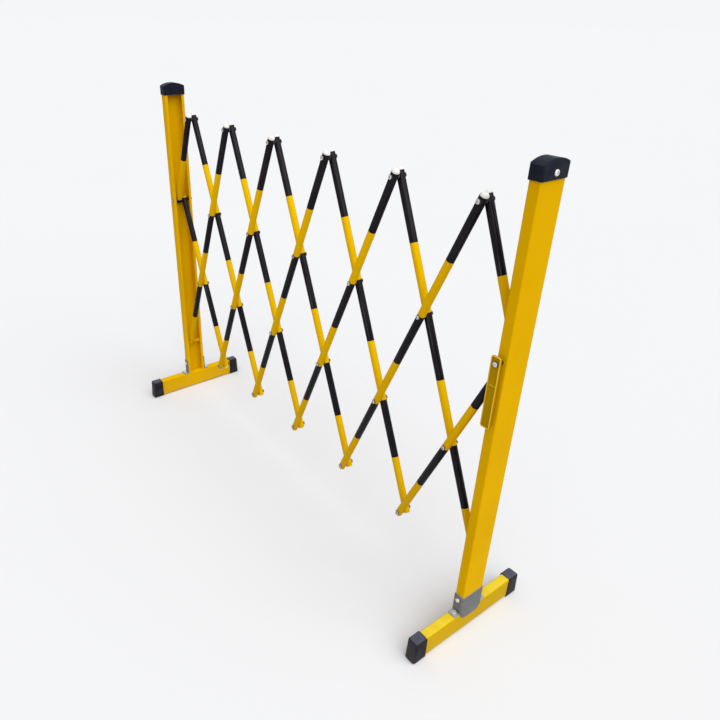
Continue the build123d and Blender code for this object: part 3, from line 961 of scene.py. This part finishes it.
screw_low, screw_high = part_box("right_cap_screw")
screw_middle = (screw_low + screw_high) / 2
screw_radius = (screw_high.y - screw_low.y) / 2
screw = crowned_drum("screw_pattern", screw_radius, SCREW_HEAD_HEIGHT, SCREW_ROUND, sides=36, steps=6)
close(screw, angle=45)
arm = screw_radius * SCREW_ARM_SHARE
crown = Vector((0, 0, SCREW_HEAD_HEIGHT))
for reach in (Vector((arm, SCREW_SLOT, SCREW_SLOT_DEPTH)), Vector((SCREW_SLOT, arm, SCREW_SLOT_DEPTH))):
    carve(screw, add_block("slot_cutter", crown - reach, crown + reach), "DIFFERENCE")
seat = at(screw_high.x - SCREW_HEAD_HEIGHT, screw_middle.y, screw_middle.z)
screw.data.transform(seat @ ALONG_X)
dress_both_posts(screw, "cap_screw_head", zinc_fastener, "zinc", "cap_screw")
print("cap screws of", round(2000 * screw_radius, 1), "mm")

# %% [markdown]
# ## Rubber boots
# Each end of a cross foot wears a thick, rounded rubber boot, whose end leans back a little.
# Subdivision would round a block too, but it shrinks it away from the tube. So a bevel rounds it:
# the upper edge of its end is moved in for the lean, all but the mouth's edges are rounded,
# and the mouth is inset and hollowed for the tube.

# %% Rubber boots
BOOT_LENGTH = 0.039
BOOT_RAKE = 0.004
BOOT_ROUND = 0.006
BOOT_WALL = 0.0030
BOOT_DEPTH = 0.0289

boots_low, boots_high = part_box("right_foot_boots")
boot_middle = (boots_low + boots_high) / 2
mouth = boots_low.y + BOOT_LENGTH
boot = add_block("boot_pattern", boots_low, (boots_high.x, mouth, boots_high.z))
edit(boot)
pick_edges(boot, lambda a, b: max(a.y, b.y) < boots_low.y + SAME and min(a.z, b.z) > boots_high.z - SAME)
bpy.ops.transform.translate(value=(0.0, BOOT_RAKE, 0.0))
pick_edges(boot, lambda a, b: min(a.y, b.y) < mouth - BOOT_LENGTH / 2)
round_edges(BOOT_ROUND, steps=5)
pick_faces(boot, lambda middle, normal: normal.y > FACING)
hollow(BOOT_WALL, y=-BOOT_DEPTH)
close(boot, angle=40)

about_foot = at(boot_middle.x, 0.0, 0.0) @ HALF_TURN @ at(-boot_middle.x, 0.0, 0.0)
for side, place in SIDES.items():
    pair = [copy_to(boot, "boot", place), copy_to(boot, "boot", place @ about_foot)]
    dress(joined(pair, side + "_boots"), boot_rubber, side + "_post", "black_rubber", side + "_foot_boots")
discard(boot)
print(f"boots stand {1000 * (boots_high.z - boots_low.z):.1f} mm high")

# %% [markdown]
# ## Brackets
# A bent plate ties each post to its foot: it wraps the post, and two flanges lie on top of the tube.
# Sheet metal is easiest as a skin without thickness. A block loses the faces that the plate lacks,
# and edges are pushed out for the flanges and the tab. Then corners are cut and bends rounded.
# Solidify gives the skin an even thickness round the bends, and a small bevel breaks its edges.

# %% Skin of a bracket
BRACKET_SKIN = 0.0001  # clear of the post and the foot
LONG_EDGE = 0.03  # longer than any edge of a flange or the tab

bracket_low, bracket_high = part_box("right_foot_bracket")
foot_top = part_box("right_foot_tube")[1].z
wrap_low = Vector((post_low.x, post_low.y - BRACKET_SKIN, foot_top + BRACKET_SKIN))
wrap_high = Vector((post_high.x + BRACKET_SKIN, post_high.y + BRACKET_SKIN, bracket_high.z))
bracket = add_block("bracket_pattern", wrap_low, wrap_high)
edit(bracket)
pick_faces(bracket, lambda middle, normal: abs(normal.z) > FACING or normal.x < -FACING)
bpy.ops.mesh.delete(type="FACE")


def at_foot(a, b):
    """Whether an edge lies on top of the foot."""
    return max(a.z, b.z) < wrap_low.z + SAME


def outermost(a, b):
    """Whether an edge lies on the plate's outer side."""
    return min(a.x, b.x) > wrap_high.x - SAME


for sign, edge_y in ((-1, wrap_low.y), (1, wrap_high.y)):
    pick_edges(bracket, lambda a, b: at_foot(a, b) and max(abs(a.y - edge_y), abs(b.y - edge_y)) < SAME)
    push(y=sign * (bracket_high.y - wrap_high.y))
pick_edges(bracket, lambda a, b: at_foot(a, b) and outermost(a, b) and abs(a.y - b.y) > LONG_EDGE)
push(z=bracket_low.z - wrap_low.z)
print("brackets reach", round(1000 * (bracket_high.z - foot_top)), "mm up the posts")

# %% Plate of a bracket
PLATE = 0.0025
PLATE_SOFTEN = 0.0004
BEND = 0.0030
FLANGE_CORNER = 0.004
TAB_CUT = 0.012

pick_vertices(bracket, lambda place: place.z < wrap_low.z - PLATE)
bpy.ops.mesh.bevel(offset=TAB_CUT, segments=1, affect="VERTICES")
pick_vertices(bracket, lambda place: abs(place.y) > wrap_high.y + PLATE)
bpy.ops.mesh.bevel(offset=FLANGE_CORNER, segments=4, affect="VERTICES")
pick_edges(bracket, lambda a, b: outermost(a, b) and abs(a.z - b.z) > LONG_EDGE)
round_edges(BEND, steps=5)
bpy.ops.mesh.select_all(action="SELECT")
bpy.ops.mesh.normals_make_consistent(inside=False)
close(bracket, angle=40)
apply_modifier(bracket, "SOLIDIFY", thickness=PLATE - BRACKET_SKIN, offset=1.0)
soften(bracket, PLATE_SOFTEN, steps=2, angle=50)
dress_both_posts(bracket, "bracket_plate", zinc_plate, "galvanised", "foot_bracket")
print("brackets of", 1000 * PLATE, "mm plate")

# %% [markdown]
# ## Bracket bolts
# One hex bolt crosses the post, and one goes down through each flange.
# A six-sided cylinder makes the hexagon, and a bevel on its outer edge is the chamfer of real bolt heads.

# %% Bracket bolts
BOLT_RADIUS = 0.003
BOLT_HEX = 0.00577
BOLT_HEAD = 0.004
NUT_HEIGHT = 0.005
HEX_CHAMFER = 0.0007
HEX_RING = 0.0012
HEX_HOLLOW = 0.0003


def hexagon(name, height):
    """A hex head on Z with a chamfered crown and a shallow washer face."""
    head = add_drum(name, BOLT_HEX, 0.0, height, sides=6)
    edit(head)
    pick_faces(head, lambda middle, normal: normal.z > FACING)
    round_edges(HEX_CHAMFER, steps=2)
    pick_faces(head, lambda middle, normal: normal.z > FACING and middle.z > height - SAME)
    hollow(HEX_RING, z=-HEX_HOLLOW)
    return close(head, angle=25)


bolts_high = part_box("right_bracket_bolts")[1]
post_middle_x = (post_low.x + post_high.x) / 2
flange_bolt_y = bolts_high.y - BOLT_HEX
cross_z = bolts_high.z - BOLT_HEX
flank_seat = post_high.y + PLATE
bolt_head = hexagon("bolt_head", BOLT_HEAD)
bolt_nut = hexagon("bolt_nut", NUT_HEIGHT)
bolt_end = add_drum("bolt_end", BOLT_RADIUS, 0.0, NUT_HEIGHT, sides=24)
head_places = [at(post_middle_x, -flank_seat, cross_z) @ AGAINST_Y]
head_places += [at(post_middle_x, y, foot_top + PLATE) for y in (-flange_bolt_y, flange_bolt_y)]
nut_place = at(post_middle_x, flank_seat, cross_z) @ ALONG_Y
for side, place in SIDES.items():
    copies = [copy_to(bolt_head, "head", place @ spot) for spot in head_places]
    copies += [copy_to(bolt_nut, "nut", place @ nut_place), copy_to(bolt_end, "end", place @ nut_place)]
    piece = joined(copies, side + "_bolt_set")
    dress(piece, zinc_fastener, side + "_post", "zinc", side + "_bracket_bolts")
discard(bolt_head, bolt_nut, bolt_end)
print("bolts cross the posts", round(1000 * (cross_z - foot_top)), "mm above the feet")

# %% [markdown]
# ## Pivot pins
# A pin through each post carries the outermost bars. Its domed heads show on both sides of the post.
# On the right the front head sits inside the lock lever, and a collar holds the lever off the post.
# The rivets' function makes these heads too.

# %% Pivot pins
PIN_HEAD_RADIUS = 0.0065
PIN_HEAD_HEIGHT = 0.003
PIN_ROUND = 0.0022
PIN_DIMPLE = 0.0006
PIN_RADIUS = 0.004
PIN_LET_IN = 0.002
COLLAR_RADIUS = 0.006
COLLAR_LENGTH = 0.013

pin_head = domed_head("pin_head", PIN_HEAD_RADIUS, PIN_HEAD_HEIGHT, PIN_ROUND, PIN_DIMPLE)
for side in SIDES:
    pin_low, pin_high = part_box(side + "_post_pin")
    axis = Vector(((pin_low.x + pin_high.x) / 2, 0.0, (pin_low.z + pin_high.z) / 2))
    front = at(axis.x, pin_low.y + PIN_HEAD_HEIGHT, axis.z) @ AGAINST_Y
    rear = at(axis.x, pin_high.y - PIN_HEAD_HEIGHT, axis.z) @ ALONG_Y
    turned = [add_drum("shank", PIN_RADIUS, pin_low.y + PIN_LET_IN, pin_high.y - PIN_LET_IN, sides=28)]
    if side == "right":
        ends = (post_low.y - COLLAR_LENGTH, post_low.y)
        turned.append(plain_ring("collar", COLLAR_RADIUS, *ends, EDGE_BREAK, sides=36, angle=35))
    for part in turned:
        part.data.transform(at(*axis) @ ALONG_Y)
    parts = [copy_to(pin_head, "front_head", front), copy_to(pin_head, "rear_head", rear), *turned]
    dress(joined(parts, side + "_pivot_pin"), zinc_heads, side + "_post", "zinc", side + "_post_pin")
discard(pin_head)
print(len(SIDES), "pivot pins")

# %% [markdown]
# ## Lock lever
# A pressed steel lever hangs on the right pin, in front of its collar.
# It is a shallow tray. Solidify on a skin would do here too, but a tray is nearly a block:
# its front is inset by the sheet and pushed back.
# A bead pressed across the web stiffens it: two cuts mark a strip, which is inset and moved forward.
# The lower end is bent back: with the barrier folded and the lever swung up, it catches the left pin.
# It is a second, thinner block with round corners, joined to the tray.

# %% Lever tray
SHEET = 0.002
LEVER_CORNER = 0.004
LEVER_DEPTH = 0.005
BEAD_WIDTH = 0.0055
BEAD_SLOPE = 0.0016
BEAD_RISE = 0.0018
BEAD_SHARE = 0.60  # of the lever's length, from its lower end

lever_low, lever_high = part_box("lock_lever")
back = lever_low.y + LEVER_DEPTH
tray = add_block("lever_tray", lever_low, (lever_high.x, back, lever_high.z))
edit(tray)
pick_edges(tray, lambda a, b: abs(a.y - b.y) > LEVER_DEPTH / 2)
round_edges(LEVER_CORNER, steps=5)
pick_faces(tray, lambda middle, normal: normal.y < -FACING)
hollow(SHEET, y=LEVER_DEPTH - SHEET)
web_y = back - SHEET
bead_z = lever_low.z + BEAD_SHARE * (lever_high.z - lever_low.z)


def on_web(middle, normal):
    """Whether a face lies on the tray's web."""
    return normal.y < -FACING and abs(middle.y - web_y) < SAME


for cut_z in (bead_z - BEAD_WIDTH / 2, bead_z + BEAD_WIDTH / 2):
    pick_faces(tray, on_web)
    bpy.ops.mesh.bisect(plane_co=(0.0, 0.0, cut_z), plane_no=UPWARD)
pick_faces(tray, lambda middle, normal: on_web(middle, normal) and abs(middle.z - bead_z) < BEAD_WIDTH / 4)
bpy.ops.mesh.inset(thickness=BEAD_SLOPE)
bpy.ops.transform.translate(value=(0.0, -BEAD_RISE, 0.0))
close(tray, angle=30)
print(f"lever {1000 * (lever_high.z - lever_low.z):.0f} mm long")

# %% Lever hook
LEVER_SOFTEN = 0.0005

hook_low = (lever_low.x + LEVER_CORNER, back - SHEET / 2, lever_low.z)
hook_high = (lever_high.x - LEVER_CORNER, lever_high.y, lever_low.z + SHEET)
hook = add_block("lever_hook", hook_low, hook_high)
edit(hook)
pick_edges(hook, lambda a, b: min(a.y, b.y) > lever_high.y - SAME and abs(a.z - b.z) > SHEET / 2)
round_edges(LEVER_CORNER / 2, steps=4)
close(hook)
lever = joined([tray, hook], "lock_lever_tray")
soften(lever, LEVER_SOFTEN, steps=2, angle=45)
dress(lever, lever_coat, "lock_lever", "yellow_paint", "lock_lever")
print(f"hook reaches {1000 * (lever_high.y - back):.0f} mm back")

# %% [markdown]
# ## Solids that stay
# The posts, foot tubes, glides and spacers are right as they came, so they only get their finishes.

# %% Solids that stay
KEPT = {
    "post": yellow_coat,
    "slider_glides": yellow_nylon,
    "slider_spacers": yellow_nylon,
    "pin_spacers": nylon,
    "slider_pin": zinc_fastener,
}
FEET = {"right": foot_coat, "left": yellow_coat}
for side in SIDES:
    for kind, finish in {**KEPT, "foot_tube": FEET[side]}.items():
        solid = frame["nodes"][f"{side}_{kind}"]
        solid.data.materials.clear()
        solid.data.materials.append(finish)
print(2 * len(KEPT) + len(FEET), "solids keep their shape")

# %% [markdown]
# ## Floor
# A product photograph needs little: a pale floor and an even white sky.
# More light would whiten the floor, but bleach the barrier too.
# So the camera and the reflections see floor and sky pale, and for the light that bounces they are darker.
# The Light Path node tells the two kinds of ray apart.

# %% Floor
FLOOR_SIZE = 400.0
FLOOR_DIM = (0.784, 0.787, 0.797, 1.0)
FLOOR_PALE = (0.794, 0.797, 0.807, 1.0)
FLOOR_BOUNCE = (0.45, 0.385, 0.37, 1.0)


def seen_directly(tree):
    """One for rays from the camera, a reflection or a clear surface, and zero for light that bounces."""
    rays = add(tree, "ShaderNodeLightPath").outputs
    seen = sums(tree, "MAXIMUM", rays["Is Camera Ray"], rays["Is Glossy Ray"])
    return sums(tree, "MAXIMUM", seen, rays["Is Transmission Ray"])


pale_floor, tree, shader, place = new_finish("pale_floor")
pale = blend(tree, noise(tree, place, scale=0.6, detail=2.0)[0], FLOOR_DIM, FLOOR_PALE)
fill(tree, shader, {
    "Base Color": blend(tree, seen_directly(tree), FLOOR_BOUNCE, pale),
    "Roughness": 1.0,
    "Specular IOR Level": 0.0,
})
clear_selection()
bpy.ops.mesh.primitive_plane_add(size=FLOOR_SIZE)
floor = named("floor")
floor.data.materials.append(pale_floor)
print("floor of", FLOOR_SIZE, "m")

# %% [markdown]
# ## Light
# Area lamps would fade across so wide a floor. Sun lamps light it all alike,
# and a wide angle makes their shadows as soft as a big studio lamp would.
# The key comes from above the right post. A weak, small lamp draws a streak down the rear bars.

# %% Light
BACKDROP = (0.913, 0.921, 0.939, 1.0)
SKY_STRENGTH = 0.48


def soft_sun(name, azimuth, elevation, strength, spread):
    """A sun lamp that shines from an azimuth and an elevation. All angles are in degrees."""
    lamp = bpy.data.objects.new(name, bpy.data.lights.new(name, "SUN"))
    lamp.data.energy = strength
    lamp.data.angle = math.radians(spread)
    lamp.rotation_euler = (0.0, math.radians(90 - elevation), math.radians(azimuth))
    scene.collection.objects.link(lamp)


soft_sun("key_light", azimuth=-5.0, elevation=58.0, strength=2.68, spread=80.0)
soft_sun("streak_light", azimuth=-70.0, elevation=4.0, strength=0.22, spread=8.0)
scene.world = bpy.data.worlds.new("sky")
scene.world.use_nodes = True
tree = scene.world.node_tree
strength = remap(tree, seen_directly(tree), 0.0, 1.0, SKY_STRENGTH, 1.0)
fill(tree, tree.nodes["Background"], {"Color": BACKDROP, "Strength": strength})
scene.view_settings.view_transform = "Standard"
print("lit by", [light.name for light in bpy.data.lights])
